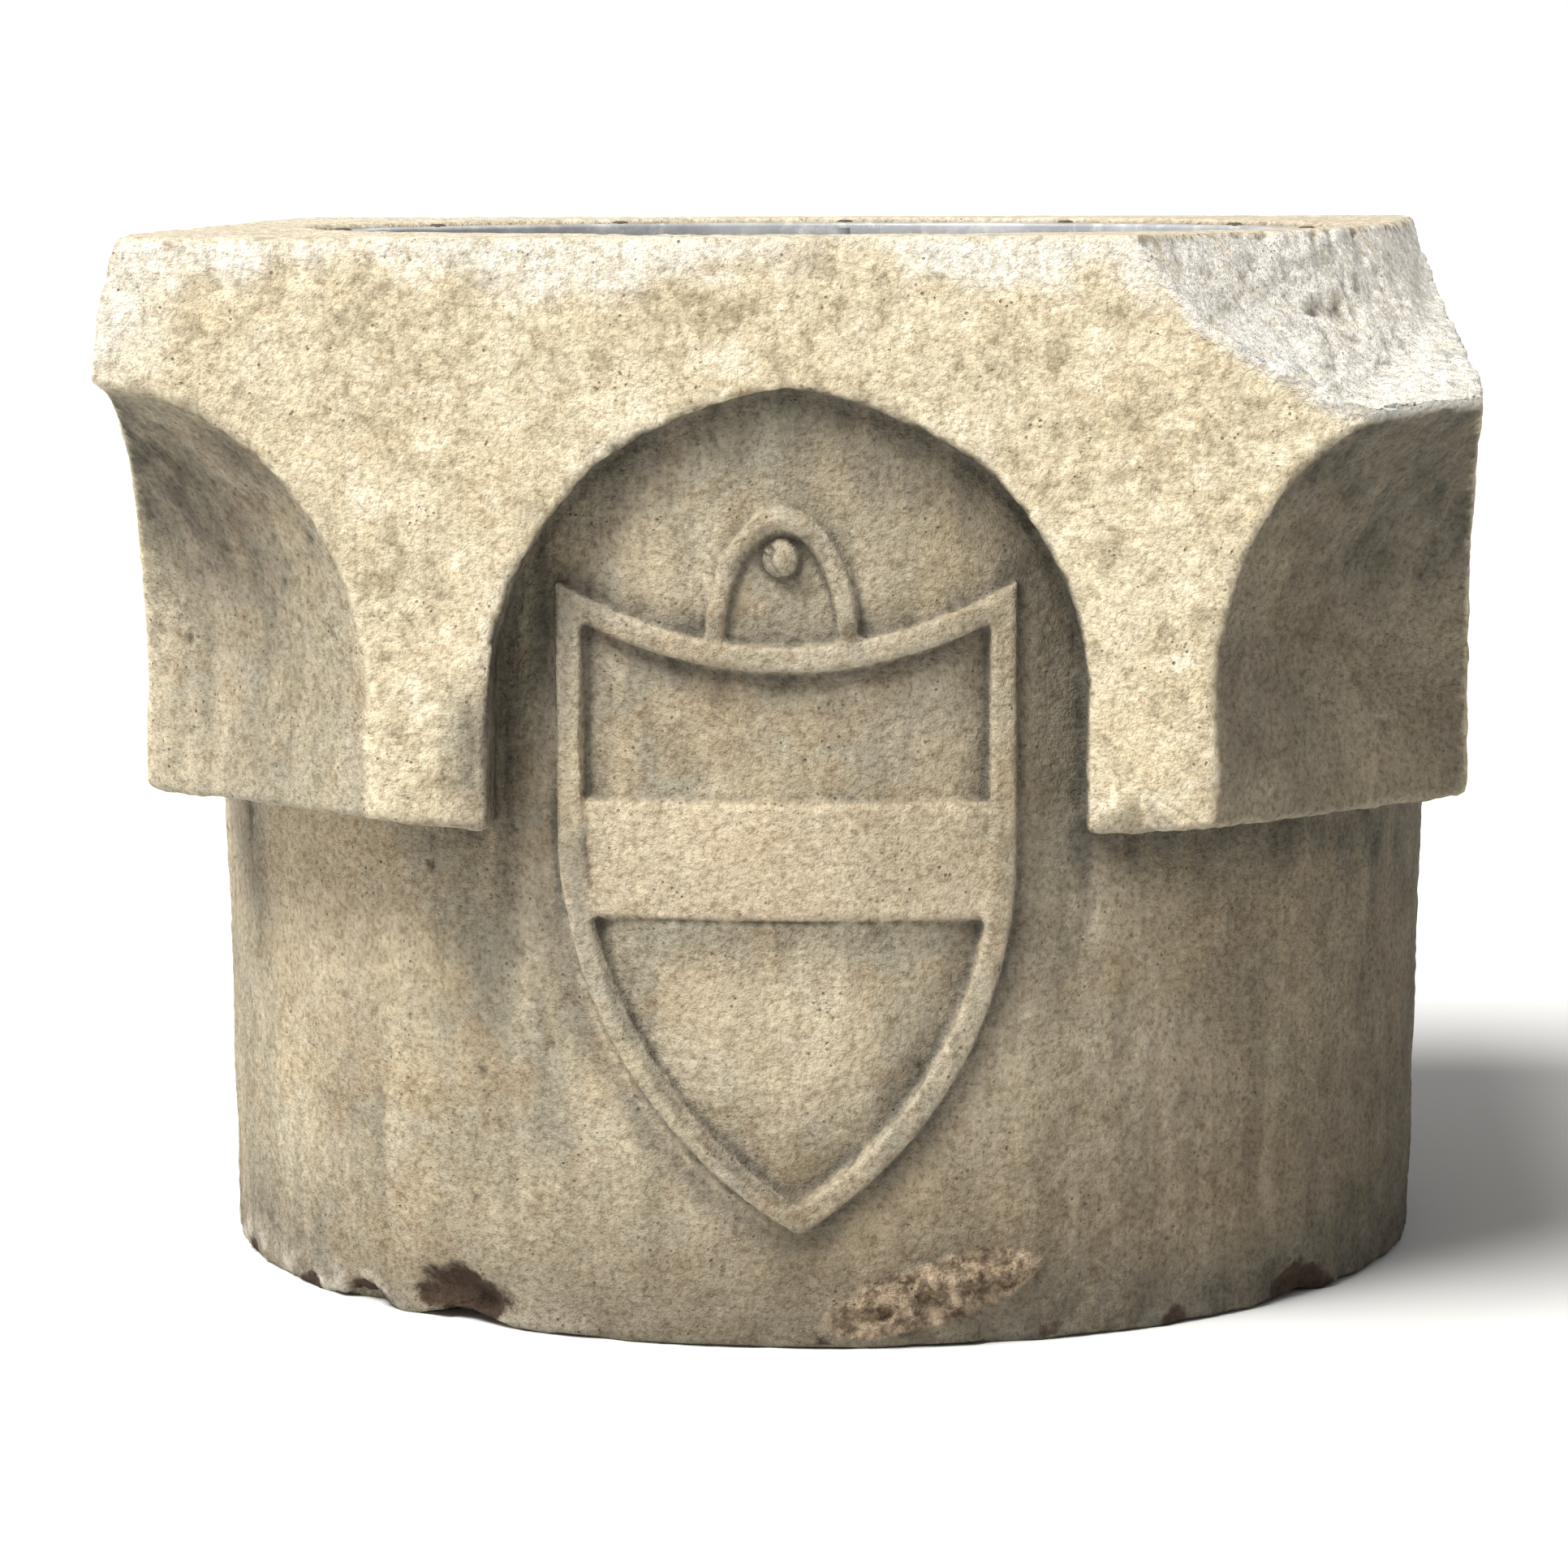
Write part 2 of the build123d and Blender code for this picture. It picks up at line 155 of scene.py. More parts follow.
class Skin:
    """A mesh's vertices, with what it takes to smooth and push them."""

    def __init__(self, mesh):
        self.mesh = mesh
        self.points = np.empty(3 * len(mesh.vertices))
        mesh.vertices.foreach_get("co", self.points)
        self.points = self.points.reshape(-1, 3)
        edges = np.empty(2 * len(mesh.edges), int)
        mesh.edges.foreach_get("vertices", edges)
        self.ends = edges.reshape(-1, 2)
        self.count = np.maximum(np.bincount(edges, minlength=len(self.points)), 1)

    def mean(self, values, rounds=1):
        """Each value becomes the mean of its own and its neighbours'."""
        a, b = self.ends.T
        size = len(self.points)
        values = values.copy()
        columns = [values] if values.ndim == 1 else list(values.T)
        for _ in range(rounds):
            for i, column in enumerate(columns):
                around = np.bincount(a, column[b], size) + np.bincount(b, column[a], size)
                columns[i] = 0.5 * column + 0.5 * around / self.count
        return columns[0] if values.ndim == 1 else np.stack(columns, 1)

    def soften(self, rounds, share):
        self.points += (self.mean(self.points, rounds) - self.points) * share[:, None]

    def write(self):
        self.mesh.vertices.foreach_set("co", self.points.ravel())
        self.mesh.update()

    def normals(self):
        self.write()
        out = np.empty(3 * len(self.points))
        self.mesh.vertex_normals.foreach_get("vector", out)
        return out.reshape(-1, 3)

    def paint(self, name, values):
        layer = self.mesh.attributes.new(name, "FLOAT", "POINT")
        layer.data.foreach_set("value", np.clip(values, 0, 1).astype(np.float32))


# ---------------------------------------------------------------- places on the stone
def arch_gap(u, z):
    """How far inside the niche's pointed outline, negative outside it."""
    shift = ARCH_R - NICHE_HALF
    arch = ARCH_R - np.hypot(u + shift, z - NICHE_SPRING)
    arch -= POINT_FLAT * np.sin(math.pi * np.clip(u / HAUNCH_X, 0, 1))
    return np.where(z > NICHE_SPRING, arch, NICHE_HALF - u)


def hollow_gap(x, y, z):
    """How far out through the hollow's surface under a corner: 0 on it, negative in the stone."""
    lift = np.clip((z - CORNER_SPRING) / CORNER_RISE, 0, 1)
    leg = CORNER_LEG * np.sqrt(1 - lift**2)
    return (np.abs(x) + np.abs(y) - (2 * HALF - leg)) * math.sqrt(0.5)


def shield_gap(x, z):
    """How far inside the shield's outline, seen from the front, negative outside it."""
    across = np.abs(x - SHIELD_X)
    drop = SHIELD_SIDE_Z - SHIELD_TIP_Z
    bow_r = (SHIELD_HALF**2 + drop**2) / (2 * SHIELD_HALF) * 1.02
    flank = bow_r - np.hypot(across + bow_r - SHIELD_HALF, np.minimum(z - SHIELD_SIDE_Z, 0))
    dip = 0.373 + 0.033 * (across / SHIELD_HALF) ** 2
    return np.minimum(flank, dip - z)


def peg_distance(x, z):
    """How far from the peg's middle, seen from the front."""
    return np.hypot(x - PEG_X, z - PEG_Z)


def strap_loop(x, z):
    """1 on the strap's inner edge, less inside the loop, more outside it."""
    return np.hypot((x - STRAP_X) / STRAP_INNER_HALF, (z - STRAP_FOOT) / STRAP_INNER_RISE)


def crust_patch(x, y, z, reach):
    """1 in the middle of the flaking crust, falling to 0 at its border."""
    drift = (x - CRUST_AT[0]) * CRUST_TILT
    return bump_at(np.stack((x, y, z - drift), 1), CRUST_AT, reach)


def over_spall(x, y, z):
    """How far above the broken corner's surface, negative in the whole stone."""
    line = [[np.interp(y, SPALL_Y, [s[i][j] for s in SPALL]) for j in (0, 1)] for i in range(4)]
    height = np.full(len(x), 1.0)
    for (x0, z0), (x1, z1) in zip(line, line[1:]):
        share = (x - x0) / (x1 - x0)
        height = np.where((share >= 0) & (share <= 1), z0 + share * (z1 - z0), height)
    return np.where(y < SPALL_Y[-1], z - height, -1.0)


class Places:
    """Where each vertex is on the stone, as numbers from 0 to 1."""

    def __init__(self, skin):
        x, y, z = skin.points.T
        self.x, self.y, self.z = x, y, z
        self.r = np.hypot(x, y)
        self.v = np.maximum(np.abs(x), np.abs(y))
        self.u = np.minimum(np.abs(x), np.abs(y))
        self.arch = arch_gap(self.u, z)
        self.hollow_gap = hollow_gap(x, y, z)
        self.outside = step(REBATE_R - 0.004, REBATE_R, self.r)
        self.on_head = step(SKIRT - 0.006, SKIRT, z) * self.outside
        self.top = step(TOP - 0.004, TOP - 0.0015, z) * self.outside
        below = step(SKIRT - 0.004, SKIRT + 0.004, z)
        self.hollow = step(-0.020, -0.014, self.hollow_gap) * (1 - step(0.500, 0.509, z)) * below
        self.hollow *= 1 - step(HALF - 0.004, HALF - 0.0015, self.v)
        self.niche = step(-0.004, -0.001, self.arch) * (1 - step(0.3565, 0.3592, self.v))
        self.niche *= step(SKIRT - 0.09, SKIRT + 0.02, z)
        self.drum_r = BASE_R + (DRUM_R - BASE_R) * np.clip(z / SKIRT, 0, 1)
        proud = self.r - self.drum_r
        self.drum = step(-0.012, -0.007, proud) * (1 - step(0.0095, 0.012, proud))
        self.drum *= 1 - step(0.505, 0.51, z)
        self.broken = skin.mean(step(-0.012, -0.003, over_spall(x, y, z)), 2) * self.outside
        front = step(0.1, 0.3, -y)
        self.shield = shield_gap(x, z)
        self.on_shield = step(-0.001, 0.001, self.shield) * front * self.drum
        self.carved = self.drum * front * (1 - step(0.13, 0.15, np.abs(x)))


# ---------------------------------------------------------------- stone
def remeshed(source, name, voxel):
    """A new object: the CAD mesh as an even net of small quads."""
    thing = bpy.data.objects.new(name, source.data.copy())
    bpy.context.scene.collection.objects.link(thing)
    net = thing.modifiers.new("net", "REMESH")
    net.mode = "VOXEL"
    net.voxel_size = voxel
    return applied(thing)


def applied(thing):
    """The same object with its modifiers made real."""
    graph = bpy.context.evaluated_depsgraph_get()
    mesh = bpy.data.meshes.new_from_object(thing.evaluated_get(graph))
    thing.modifiers.clear()
    thing.data = mesh
    return thing


def wear_outline(skin, at):
    """Large wear: the leaning left corner, uneven skirts, dished hollows and swollen shield field."""
    x, y, z = skin.points.T
    # the front left corner leans in towards the top
    lean = np.interp(z, [0.507, 0.545, 0.562, 0.580, TOP], [0, 4 * MM, 9 * MM, 13 * MM, 17 * MM])
    near_side, near_front = step(-0.29, -0.352, x), step(-0.29, -0.352, y)
    x += lean * near_side * step(-0.24, -0.36, y)
    y += 0.35 * lean * near_front * step(-0.28, -0.36, x)
    # the skirt's feet hang a little unevenly
    foot = (1 - step(SKIRT, 0.40, z)) * at.on_head * step(0.1, 0.3, -y)
    left = foot * step(0.14, 0.16, -x)
    z += left * np.interp(x, [-0.36, -0.217, -0.155], [0, 2.5 * MM, -5 * MM])
    z += foot * step(0.14, 0.16, x) * np.interp(x, [0.155, 0.217], [-3 * MM, 0])
    # each hollow is slightly dished, most of all at mid-height
    across = np.abs(np.abs(x) - np.abs(y)) / CORNER_LEG
    dish = np.clip(1 - across**2, 0, 1) * step(SKIRT, 0.37, z) * (1 - step(0.40, 0.50, z))
    inward = 11 * MM * dish * at.hollow * math.sqrt(0.5)
    x -= np.sign(x) * inward
    y -= np.sign(y) * inward
    # the peg stands clear of the strap that loops over it
    from_peg = peg_distance(x, z)
    peg = at.carved * (1 - step(PEG_R - 0.0004, PEG_R + 0.0006, from_peg))
    clear = at.carved * (1 - step(0.93, 1.03, strap_loop(x, z))) * (1 - peg)
    clear *= step(SHIELD_TOP_MIDDLE, SHIELD_TOP_MIDDLE + 0.003, z)
    dome = PEG_PROUD - 2.4 * MM * np.clip(from_peg / PEG_R, 0, 1) ** 2
    proud = at.r - at.drum_r
    lift = peg * (dome - proud) - clear * (proud + 0.6 * MM)
    x += lift * x / np.maximum(at.r, 0.1)
    y += lift * y / np.maximum(at.r, 0.1)
    # the shield's lower field swells in the middle and sinks towards its moulding
    field = at.on_shield * step(MOULDING, MOULDING + 0.004, at.shield)
    lower = field * (1 - step(BAND_LOW - 0.004, BAND_LOW, z))
    swell = 3.2 * step(0.02, 0.06, at.shield) - 2.6 * (1 - step(MOULDING, 0.032, at.shield))
    upper = field * step(BAND_HIGH, BAND_HIGH + 0.004, z)
    sunk = -1.8 * (1 - step(MOULDING, 0.03, at.shield))
    push = (lower * swell + upper * sunk) * MM
    x += push * x / np.maximum(at.r, 0.1)
    y += push * y / np.maximum(at.r, 0.1)
    skin.points = np.stack((x, y, z), 1)


def roughen(skin, at, noise):
    """Weathered relief: long swells, tooling and grain, chips along edges, the broken corner."""
    points = skin.points.copy()
    normal = skin.normals()
    sharp = ((points - skin.mean(points, 6)) * normal).sum(1)
    edge = step(0.25 * MM, 1.2 * MM, sharp)
    relief = 1.2 * noise[0](points, 0.14) + 0.8 * noise[1](points, 0.045)
    relief += 0.7 * noise[2](points, 0.015) + 0.85 * noise[3](points, 0.007)
    push = relief * (1 - 0.6 * at.carved)
    # chips
    scallop = noise[4](points, 0.028)
    nick = noise[5](points, 0.011)
    push -= edge * (3.2 * step(0.05, 0.6, scallop) + 2.4 * step(0.0, 0.5, nick)) * at.on_head
    ragged = edge * (1 - step(SKIRT + 0.004, SKIRT + 0.03, at.z)) * at.on_head
    push -= ragged * 4 * step(-0.1, 0.5, noise[3](points, 0.02))
    for centre, reach, depth, nicks in EDGE_CHIPS:
        share = step(*nicks, nick) if nicks else 1
        push -= depth * edge * bump_at(points, centre, reach) * share
    # the drum's foot is pitted
    foot = at.drum * (1 - step(0.004, 0.05, at.z))
    push -= foot * 2.5 * step(0.1, 0.7, scallop)
    crumb = 1 + 0.9 * noise[2](points, 0.02)
    for centre, reach, depth in FOOT_PITS:
        push -= depth * crumb * bump_at(points, centre, reach)
    # fresh break
    crag = 4 * noise[0](points, 0.06) + 2.6 * noise[1](points, 0.026, (1.5, 1.5, 0.7))
    crag += 2 * noise[2](points, 0.012) + 1.3 * noise[3](points, 0.006)
    crag -= 2.4 * step(0.2, 0.45, noise[4](points, 0.013, (1.5, 1.5, 0.7)))
    crag *= (1 - 0.6 * step(0.28, 0.23, at.x)) * (1 - 0.55 * step(-0.24, -0.05, at.y))
    push = push * (1 - at.broken) + (crag - 1.0) * at.broken
    push -= 6 * edge * at.broken * step(0.1, 0.5, at.broken) * step(-0.1, 0.5, scallop + 0.5 * nick)
    # flaking crust low on the front
    crust = crust_patch(at.x, at.y, at.z, CRUST_RELIEF)
    flakes = step(0.0, 0.12, noise[4](points, 0.014, (1.6, 1, 0.8)) + 0.5 * crust - 0.3)
    crust *= at.drum
    push += crust * (8.5 * flakes - 2.5) * (0.8 + 0.5 * noise[3](points, 0.006))
    shown = at.outside + at.drum - at.outside * at.drum
    skin.points = points + normal * (push * MM * shown)[:, None]


def pit(skin, at):
    """Small holes scattered over the outside."""
    rng = np.random.default_rng(SEED)
    outside = np.flatnonzero((at.r > REBATE_R + 0.01) & (at.z > 0.004))
    chosen = rng.choice(outside, PITS, replace=False)
    tree = KDTree(len(outside))
    for i in outside:
        tree.insert(skin.points[i], i)
    tree.balance()
    normal = skin.normals()
    depth = np.zeros(len(skin.points))
    for i in chosen:
        radius = rng.uniform(*PIT_R)
        deep = rng.uniform(*PIT_DEPTH) * radius
        for _, j, gap in tree.find_range(skin.points[i], radius):
            depth[j] = max(depth[j], deep * (1 - (gap / radius) ** 2))
    skin.points -= normal * depth[:, None]


def make_stone(voxel):
    """The whole stone, remade from the CAD solid as a fine weathered mesh."""
    noise = [Noise(SEED + i) for i in range(6)]
    stone = remeshed(frame["nodes"]["stone_block"], "stone", voxel)
    skin = Skin(stone.data)
    at = Places(skin)
    wear_outline(skin, at)
    finer = (SOFTENED_NET / voxel) ** 2
    everywhere = at.outside + at.drum - at.outside * at.drum
    skin.soften(max(1, round(2 * finer)), everywhere * (1 - 0.6 * np.maximum(at.broken, at.carved)))
    head_only = at.on_head * (1 - at.broken) * (1 - at.drum) * (1 - 0.6 * at.hollow)
    skin.soften(max(2, round(4 * finer)), head_only)
    roughen(skin, at, noise)
    skin.soften(1, 0.35 * everywhere * (1 - 0.7 * at.carved))
    pit(skin, at)
    low, high = np.array(stone_low), np.array(stone_high)
    skin.points = np.clip(skin.points, low, high)
    skin.write()
    faces = 2 * len(stone.data.polygons)
    if faces > MOST_FACES:
        # the net is thinned first where the lining or the ground hides it
        hidden = np.clip((1 - everywhere) + (at.z < 0.002), 0, 1)
        group = stone.vertex_groups.new(name="thin")
        fine = (at.carved > 0.5) | (at.broken > 0.5)
        seen = hidden <= 0.5
        for share, members in ((1.0, ~seen), (0.35, seen & ~fine), (0.12, seen & fine)):
            group.add(np.flatnonzero(members).tolist(), share, "REPLACE")
        thin = stone.modifiers.new("thin", "DECIMATE")
        thin.ratio = MOST_FACES / faces
        thin.vertex_group = "thin"
        thin.vertex_group_factor = 1
        applied(stone)
        stone.vertex_groups.clear()
    stone.data.shade_smooth()
    paint_stone(Skin(stone.data), noise)
    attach(stone, "font")
    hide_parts("stone_block")
    return stone


def paint_stone(skin, noise):
    """Where the stone is clean, sheltered, grimy, damp, broken or crusted, and where shade and light are
    painted into its colour.
    """
    at = Places(skin)
    points = skin.points
    x, y, z = points.T
    normal = skin.normals()
    fine = ((points - skin.mean(points, 3)) * normal).sum(1)
    broad = ((points - skin.mean(points, 9)) * normal).sum(1)
    blot = noise[0](points, 0.07)
    fleck = noise[1](points, 0.018)
    streak = noise[2](points, 0.02, (1, 1, 7))
    ragged = 0.5 + 0.5 * np.clip(blot + 0.5 * fleck, -1, 1)

    face = step(HALF - 0.010, HALF - 0.003, at.v) * (1 - at.hollow) * step(SKIRT, SKIRT + 0.004, z)
    face *= 1 - step(-0.002, 0.004, at.arch)
    face = np.maximum(face, 0.78 * at.top)
    sheltered = 1 - face
    skin.paint("sheltered", sheltered * (0.85 + 0.3 * blot))

    # grime and painted shade: dark inside arch edges, in hollow heads, under the skirt and round the
    # carving, where shade falls as well as dirt
    in_niche = at.niche * step(0.15, 0.3, at.v)
    # painted shade: rises towards the right side, away from the key light, and deepens the marks that use
    # it
    shade = step(-0.05, 0.2, x)
    # grime and painted shade: a dark line just inside the arch edge, and a gradient that is deeper under
    # the arch head
    rim = in_niche * (1 - step(0.003, 0.008, at.arch + 0.002 * fleck))
    deepest = 0.55 + 0.3 * step(0.40, 0.47, z)
    rim += in_niche * deepest * (1 - step(0.004, 0.075, at.arch + 0.025 * streak))
    # grime and painted shade in the hollows' heads and towards their sides, darker in the shaded right
    # hollow
    hollow = at.hollow * (1 - in_niche)
    head = hollow * step(0.39, 0.50, z + 0.02 * blot) * (1 + 0.5 * shade)
    toward_side = step(-0.01, 0.08, np.abs(x) - np.abs(y) + 0.03 * blot)
    side = (0.8 + 0.2 * shade) * hollow * toward_side * step(0.36, 0.45, z) + 0.5 * hollow * shade
    # painted shadow under the skirt, strongest on the shaded right side, with grime
    under = at.drum * (1 - step(0.0, 0.055, SKIRT - z + 0.02 * streak))
    under *= step(0, 0.01, SKIRT + 0.002 - z) * (1 - step(-0.01, 0.03, at.arch))
    under *= 0.1 + 1.2 * shade + 0.7 * bump_at(points, (-0.175, -0.30, 0.26), (0.05, 0.1, 0.05))
    # grime and painted shade in a band round the shield's outline
    around = step(0.2, 0.3, -y) * at.drum * step(-0.022, -0.001, at.shield)
    around *= 1 - step(-0.001, 0.001, at.shield)
    # painted shade in creases
    crease = step(0.3 * MM, 1.3 * MM, -broad) * sheltered
    in_loop = at.carved * step(SHIELD_TOP_MIDDLE, SHIELD_TOP_MIDDLE + 0.003, z)
    from_peg = peg_distance(x, z)
    loop = strap_loop(x, z)
    # painted shadow along the strap's inner edge, mostly on the left, and in a ring round the peg
    line = step(0.86, 0.93, loop) * (1 - step(0.98, 1.02, loop)) * step(PEG_R, PEG_R + 0.001, from_peg)
    line *= 0.75 * in_loop * (1 - 0.6 * step(0, 0.01, x))
    ring = step(PEG_R, PEG_R + 0.001, from_peg) * (1 - step(PEG_R + 0.002, PEG_R + 0.004, from_peg))
    line += 0.8 * in_loop * ring
    # grime and painted shade along the inside of the moulding, and painted shadow under the fess
    inset = at.on_shield * step(MOULDING, MOULDING + 0.002, at.shield)
    band = step(BAND_LOW - 0.002, BAND_LOW, z) * (1 - step(BAND_HIGH - 0.001, BAND_HIGH + 0.001, z))
    field = inset * (1 - band)
    inset = field * (1 - step(MOULDING, MOULDING + 0.026 + 0.012 * fleck, at.shield))
    under_band = bump_at(points, (0.02, -0.35, BAND_LOW - 0.004), (0.11, 0.08, 0.022))
    inset += field * (0.35 * step(BAND_HIGH - 0.01, BAND_HIGH, z) + 0.9 * under_band)
    # grime and painted shade in the chip on the left pier
    chipped = 0.9 * bump_at(points, (-0.163, -0.355, 0.315), (0.026, 0.05, 0.055))
    # the foot is darker towards the bottom, more on the right as painted shade; the drum's right flank
    # and faces turned right get painted shade
    low = at.drum * (1 - step(0.0, 0.075, z + 0.02 * blot)) * (0.5 + 0.6 * shade)
    right_drum_shade = at.drum * step(0.22, 0.34, x) * (0.6 + 0.35 * streak)
    flank = step(0.5, 0.9, normal[:, 0]) * face * (0.3 + 0.2 * ragged)
    grime_and_shade = 0.9 * rim + 0.6 * head + 1.0 * side + 0.9 * under + 0.6 * around + 0.7 * crease
    grime_and_shade += chipped + low + np.clip(right_drum_shade, 0, 1) + flank + line
    skin.paint("grime_and_shade", (grime_and_shade + 0.5 * inset) * (0.7 + 0.6 * ragged))

    # rising damp darkens and browns the foot; the right side is darker and browner as damp and as painted
    # shade, away from the key light
    right = step(-0.08, 0.36, x) * (1 - face)
    foot = at.drum * (1 - step(0.01, 0.16, z + 0.04 * blot)) * step(-0.40, 0.0, x)
    right *= 1 - 0.6 * at.on_shield * (1 - step(MOULDING, MOULDING + 0.002, at.shield))
    skin.paint("damp_and_shade", (0.8 * right + 0.9 * foot) * (0.75 + 0.5 * ragged))
    skin.paint("broken", at.broken * step(-0.7, -0.3, fleck + 2 * at.broken - 1))
    # the fess band and the swollen middle of the lower field are lightened as rubbed stone and as painted
    # light; the top of the drum's left side is lightened as painted light
    middle = step(0.032, 0.065, at.shield + 0.008 * blot)
    middle *= 1 - step(BAND_LOW - 0.045, BAND_LOW - 0.02, z)
    rubbed_and_lit = at.on_shield * (band + 0.7 * middle) * step(MOULDING, 0.016, at.shield)
    rubbed_and_lit += 1.2 * at.drum * bump_at(points, (-0.26, -0.24, 0.22), (0.10, 0.12, 0.11))
    skin.paint("rubbed_and_lit", rubbed_and_lit)
    # worn edges lightened as wear and as painted highlight, dents darkened as dirt and as painted shade
    skin.paint("edge", step(0.15 * MM, 0.9 * MM, fine))
    skin.paint("dent_grime_and_shade", step(0.15 * MM, 0.8 * MM, -fine))
    # bleaching and painted light: the faces whiten towards the top edge and at the front left corner,
    # which faces the key light
    bleached_and_lit = step(TOP - 0.034, TOP - 0.004, z + 0.02 * blot + 0.012 * fleck) * at.outside
    corner = step(0.30, 0.36, -x) * step(0.30, 0.35, -y) * step(0.46, 0.56, z + 0.03 * blot)
    skin.paint("bleached_and_lit", np.maximum(bleached_and_lit, corner) * face * (1 - 0.5 * at.top))

    skin.paint("crust", crust_patch(x, y, z, CRUST_STAIN) * at.drum)
    blotch = sum(bump_at(points, centre, reach) for centre, reach in FOOT_STAINS)
    blotch += 0.9 * step(0.25, 0.6, noise[3](points, 0.03)) * at.drum * (1 - step(0.002, 0.02, z))
    skin.paint("stain", blotch)
    lime = at.drum * (1 - step(0.004, 0.022 + 0.012 * fleck, z)) * step(0.05, 0.35, -x)
    skin.paint("lime", lime * step(-0.2, 0.3, fleck))


# ---------------------------------------------------------------- lead
def lathe(name, profile, segments):
    """A closed ring turned about the upright axis from a closed loop of (r, z)."""
    angles = np.arange(segments) * 2 * math.pi / segments
    loop = np.array(profile)
    grid = np.empty((segments, len(loop), 3))
    grid[:, :, 0] = np.cos(angles)[:, None] * loop[:, 0]
    grid[:, :, 1] = np.sin(angles)[:, None] * loop[:, 0]
    grid[:, :, 2] = loop[:, 1]
    index = np.arange(segments * len(loop)).reshape(segments, len(loop))
    ahead = np.roll(index, -1, 0)
    quads = np.stack((index, ahead, np.roll(ahead, -1, 1), np.roll(index, -1, 1)), -1).reshape(-1, 4)
    mesh = bpy.data.meshes.new(name)
    mesh.from_pydata(grid.reshape(-1, 3).tolist(), [], quads.tolist())
    mesh.shade_smooth()
    thing = bpy.data.objects.new(name, mesh)
    bpy.context.scene.collection.objects.link(thing)
    return thing


def run(start, end, gap):
    """Points from start up to, but not at, end, no more than gap apart."""
    a, b = np.array(start), np.array(end)
    count = max(1, math.ceil(np.linalg.norm(b - a) / gap))
    return [tuple(a + (b - a) * i / count) for i in range(count)]


def make_lead():
    """The lining's wall and floor, dressed by hand, so slightly dented."""
    noise = [Noise(SEED + 20 + i) for i in range(3)]
    outer_r, top_z, low_z = lining_high.x, lining_high.z, lining_low.z
    inner_r = BOWL_R - LEAD
    bend = 2.1 * MM
    profile = run((inner_r, low_z), (inner_r, top_z - bend), 0.006)
    profile += [(inner_r, top_z - bend), (inner_r + 0.3 * bend, top_z - 0.3 * bend)]
    profile += run((inner_r + bend, top_z), (outer_r - 0.5 * MM, top_z), 0.005)
    profile += [(outer_r - 0.5 * MM, top_z), (outer_r, top_z - 0.5 * MM), (outer_r, top_z - LEAD)]
    profile += [(BOWL_R, top_z - LEAD), (BOWL_R, low_z)]
    wall = lathe("lead_wall", profile, 300)
    skin = Skin(wall.data)
    r = np.hypot(skin.points[:, 0], skin.points[:, 1])
    shown = step(BOWL_R - 0.5 * MM, BOWL_R - 2 * MM, r) * step(low_z, low_z + 0.02, skin.points[:, 2])
    dents = 0.9 + noise[0](skin.points, 0.09) + 0.5 * noise[1](skin.points, 0.03)
    dents *= 1.1 * MM * shown
    out = skin.points[:, :2] / r[:, None]
    skin.points[:, :2] -= out * dents[:, None]
    lip = step(BOWL_R, BOWL_R + 0.004, r)
    uneven = 1.2 * MM * noise[1](skin.points, 0.05) * step(outer_r - 0.004, outer_r, r)
    skin.points[:, :2] -= out * np.maximum(uneven, 0)[:, None]
    ripple = 0.5 + 0.5 * noise[1](skin.points, 0.035)
    upper = step(top_z - 1.5 * MM, top_z, skin.points[:, 2])
    skin.points[:, 2] -= 0.9 * MM * lip * upper * np.clip(ripple, 0, 1)
    skin.write()
    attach(wall, "font")
    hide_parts("lining_wall")

    edge_z = floor_high.z
    flat_z = FLOOR_FLAT_Z + LEAD
    profile = run((SEAT_HOLE_R, floor_low.z + LEAD), (SEAT_WELL_R, floor_low.z + LEAD), 0.004)
    profile += run((SEAT_WELL_R, floor_low.z + LEAD), (FLOOR_FLAT_R, flat_z), 0.002)
    profile += run((FLOOR_FLAT_R, flat_z), (inner_r, edge_z), 0.006)
    profile += [(inner_r, edge_z), (inner_r, edge_z - LEAD), (FLOOR_FLAT_R, flat_z - LEAD)]
    profile += [(SEAT_WELL_R, floor_low.z), (SEAT_HOLE_R, floor_low.z)]
    base = lathe("lead_floor", profile[::-1], 240)
    skin = Skin(base.data)
    r = np.hypot(skin.points[:, 0], skin.points[:, 1])
    slope_z = flat_z + (edge_z - flat_z) * (r - FLOOR_FLAT_R) / (inner_r - FLOOR_FLAT_R)
    shown = step(-1 * MM, 0, skin.points[:, 2] - slope_z)
    shown *= step(0.052, 0.075, r) * step(inner_r, 0.245, r)
    dents = 0.8 + noise[0](skin.points, 0.07) + 0.4 * noise[1](skin.points, 0.025)
    skin.points[:, 2] += 0.9 * MM * shown * dents
    skin.write()
    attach(base, "font")
    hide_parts("lining_floor")
    return wall, base


